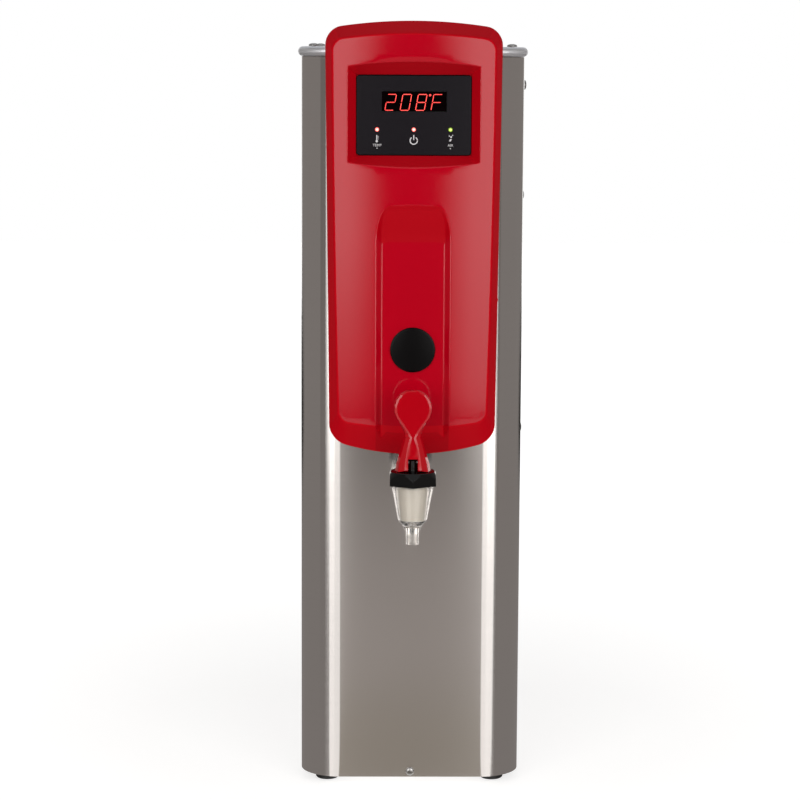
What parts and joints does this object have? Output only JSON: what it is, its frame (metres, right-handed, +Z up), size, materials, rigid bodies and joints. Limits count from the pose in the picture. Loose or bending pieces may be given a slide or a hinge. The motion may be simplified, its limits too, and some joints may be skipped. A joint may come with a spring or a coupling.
{
  "type": "commercial water boiler",
  "caption": "Narrow stainless counter-top hot water dispenser with a moulded red front cover, digital display and red-handled spring faucet.",
  "frame": {"origin": "on the counter under the middle of the object's bounding box, the faucet and the rear inlet included", "axes": "+X to the right seen from the front, +Y towards the back, +Z up"},
  "size_m": [0.1932, 0.4788, 0.6522],
  "materials": {
    "cabinet_steel": "brushed stainless, satin",
    "lid_steel": "brushed stainless, bright",
    "inner_steel": "plain stainless",
    "screw_steel": "machined",
    "foot_rubber": "matt",
    "cover_red": "satin gloss",
    "handle_red": "gloss",
    "overlay_black": "fine matt film",
    "lens_dark": "gloss",
    "display_module": "satin",
    "lamp_red": "gloss",
    "lamp_green": "gloss",
    "black_plastic": "semi-gloss",
    "board_green": "satin",
    "faucet_clear": "clear to frosted",
    "silicone": "matt",
    "foam": "matt",
    "brass": "cast and machined"
  },
  "bodies": {
    "cabinet": {"body_shell": "cabinet_steel", "service_panel": "cabinet_steel", "rear_panel": "cabinet_steel", "base_pan": "cabinet_steel", "top_lid": "lid_steel", "tank": "inner_steel", "tank_cover": "inner_steel", "tank_stand": "inner_steel", "heating_element": "inner_steel", "temperature_probe": "inner_steel", "level_probe": "inner_steel", "shank_nut": "inner_steel", "lid_screw_front_left": "screw_steel", "lid_screw_rear_left": "screw_steel", "lid_screw_front_right": "screw_steel", "lid_screw_rear_right": "screw_steel", "service_screw_top": "screw_steel", "service_screw_middle": "screw_steel", "service_screw_bottom": "screw_steel", "base_screw_front": "screw_steel", "rear_screw_bottom": "screw_steel", "rear_screw_top": "screw_steel", "foot_front_left": "foot_rubber", "foot_front_right": "foot_rubber", "foot_rear_left": "foot_rubber", "foot_rear_right": "foot_rubber", "shank_washer": "foot_rubber", "front_cover": "cover_red", "control_faceplate": "overlay_black", "display_lens": "lens_dark", "led_display": "display_module", "indicator_temp": "lamp_red", "indicator_power": "lamp_red", "indicator_air": "lamp_green", "hole_plug": "black_plastic", "faucet_bonnet": "black_plastic", "faucet_shank": "black_plastic", "cord_gland": "black_plastic", "terminal_block": "black_plastic", "solid_state_relay": "black_plastic", "air_pump": "black_plastic", "high_limit_thermostat": "black_plastic", "control_board": "board_green", "faucet_body": "faucet_clear", "outlet_hose": "silicone", "fill_tube": "silicone", "air_tube": "silicone", "tank_gasket": "silicone", "tank_insulation": "foam", "inlet_fitting": "brass", "inlet_valve": "brass"},
    "stem": {"faucet_stem": "black_plastic", "seat_cup": "silicone", "stem_spring": "inner_steel"},
    "handle": {"faucet_handle": "handle_red", "handle_pin": "inner_steel"},
    "key_temp": {"key_temp": "black_plastic"},
    "key_power": {"key_power": "black_plastic"},
    "key_air": {"key_air": "black_plastic"}
  },
  "joints": [
    {"name": "stem_lift", "type": "slide", "parent": "cabinet", "child": "stem", "axis": [0, 0, 1], "range_m": [0, 0.0056], "stiffness_N_per_m": 400, "springref_m": -0.008, "deforming": ["stem_spring"]},
    {"name": "handle_tilt", "type": "hinge", "parent": "stem", "child": "handle", "pos_m": [0, -0.21755, 0.2928], "axis": [1, 0, 0], "range_deg": [0, 40]},
    {"name": "key_temp_press", "type": "slide", "parent": "cabinet", "child": "key_temp", "axis": [0, 1, 0], "range_m": [0, 0.0003], "stiffness_N_per_m": 1000},
    {"name": "key_power_press", "type": "slide", "parent": "cabinet", "child": "key_power", "axis": [0, 1, 0], "range_m": [0, 0.0003], "stiffness_N_per_m": 1000},
    {"name": "key_air_press", "type": "slide", "parent": "cabinet", "child": "key_air", "axis": [0, 1, 0], "range_m": [0, 0.0003], "stiffness_N_per_m": 1000}
  ],
  "couplings": [
    {"joint": "handle_tilt", "follows": "stem_lift", "rad_per_m": 124.66}
  ]
}
